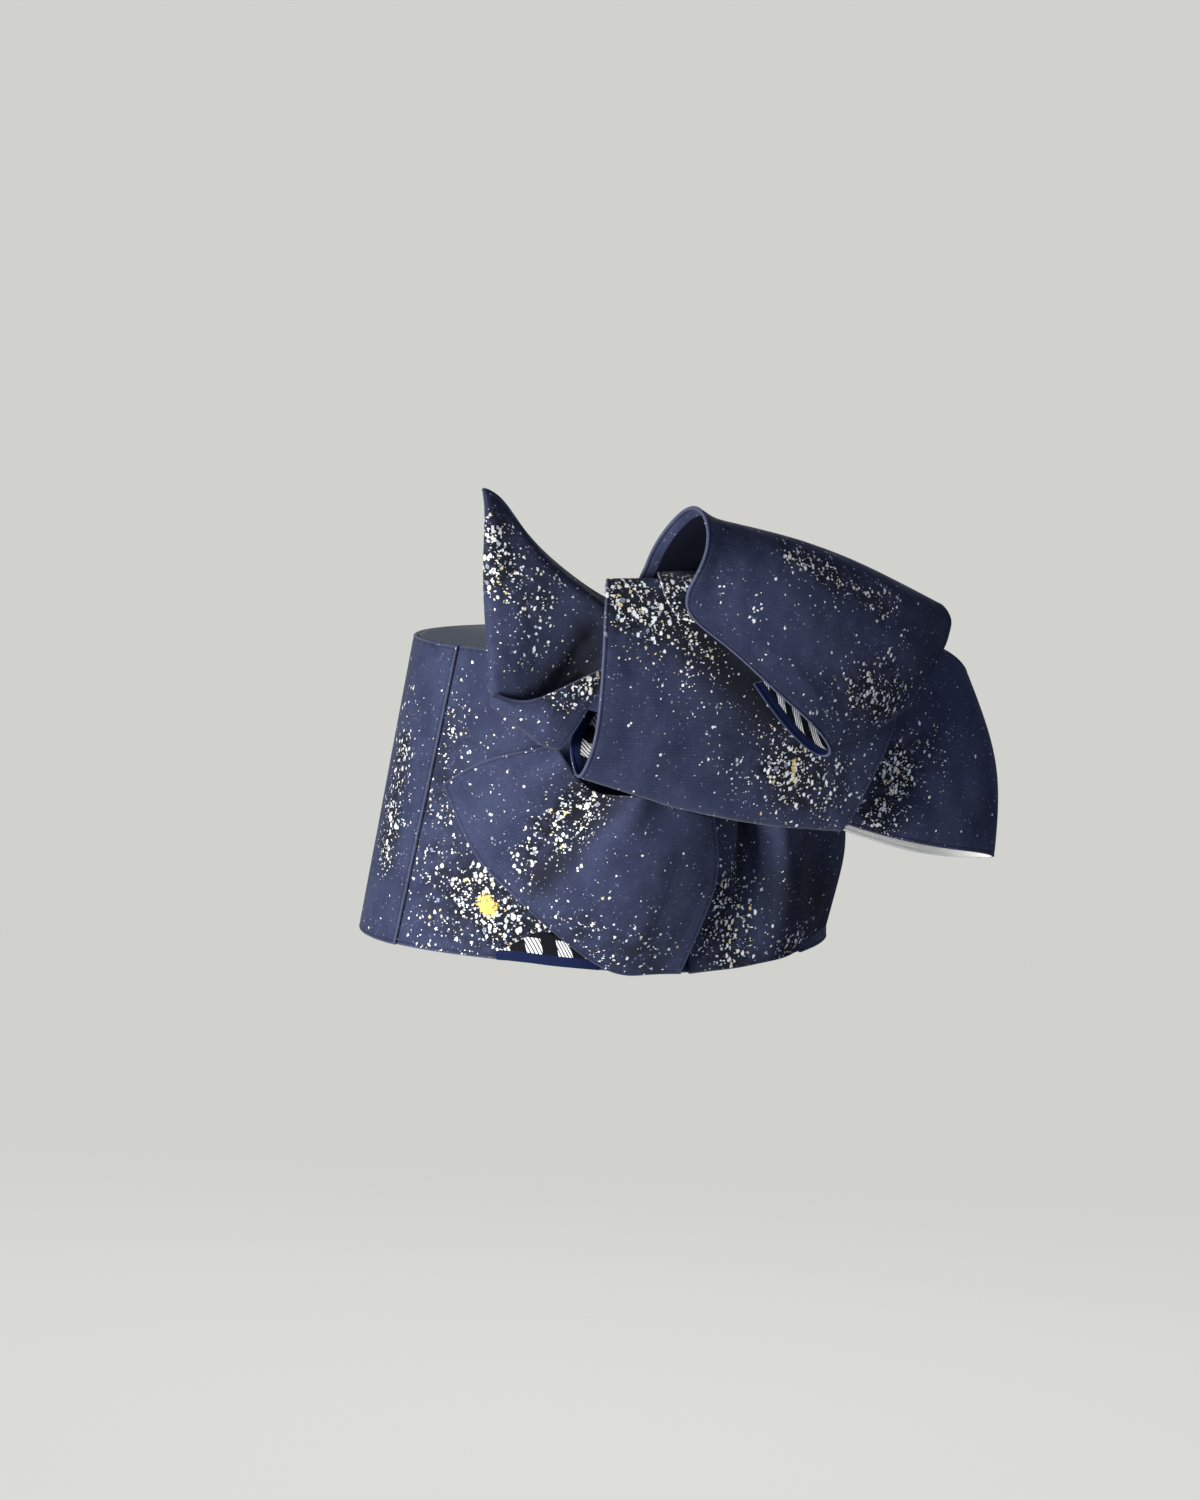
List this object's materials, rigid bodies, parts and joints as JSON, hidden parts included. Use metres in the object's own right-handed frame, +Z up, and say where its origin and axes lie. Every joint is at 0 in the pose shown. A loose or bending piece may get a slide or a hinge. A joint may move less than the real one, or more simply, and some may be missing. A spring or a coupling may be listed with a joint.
{
  "type": "obi sash",
  "caption": "Narrow reversible obi sash, wound round an absent waist and tied in an asymmetric bow at the back, with gold and cream flecks on navy cloth.",
  "frame": {"origin": "centre of the waist that the sash is wound on, half-way up the wound band", "axes": "+Z up, +X to the wearer's left, +Y out behind the wearer, where the bow is; the wearer faces -Y"},
  "size_m": [0.338, 0.2988, 0.2654],
  "materials": {
    "obi_face": "matte rib-woven navy cotton with a woven scatter of cream, white and gold flecks",
    "obi_reverse": "matte woven reverse: a bright navy border, then squares in black and in white with slanting lines"
  },
  "bodies": {
    "root": {"band_inner": "obi_face", "band_outer": "obi_face", "knot": "obi_face", "knot_fold": "obi_face", "knot_wrap": "obi_face", "loop_upper": "obi_face", "wing_right": "obi_face", "ear_left": "obi_face", "ear_lip": "obi_face", "tail_left": "obi_face", "tail_right": "obi_face", "tail_turn_back": "obi_reverse"}
  },
  "joints": []
}
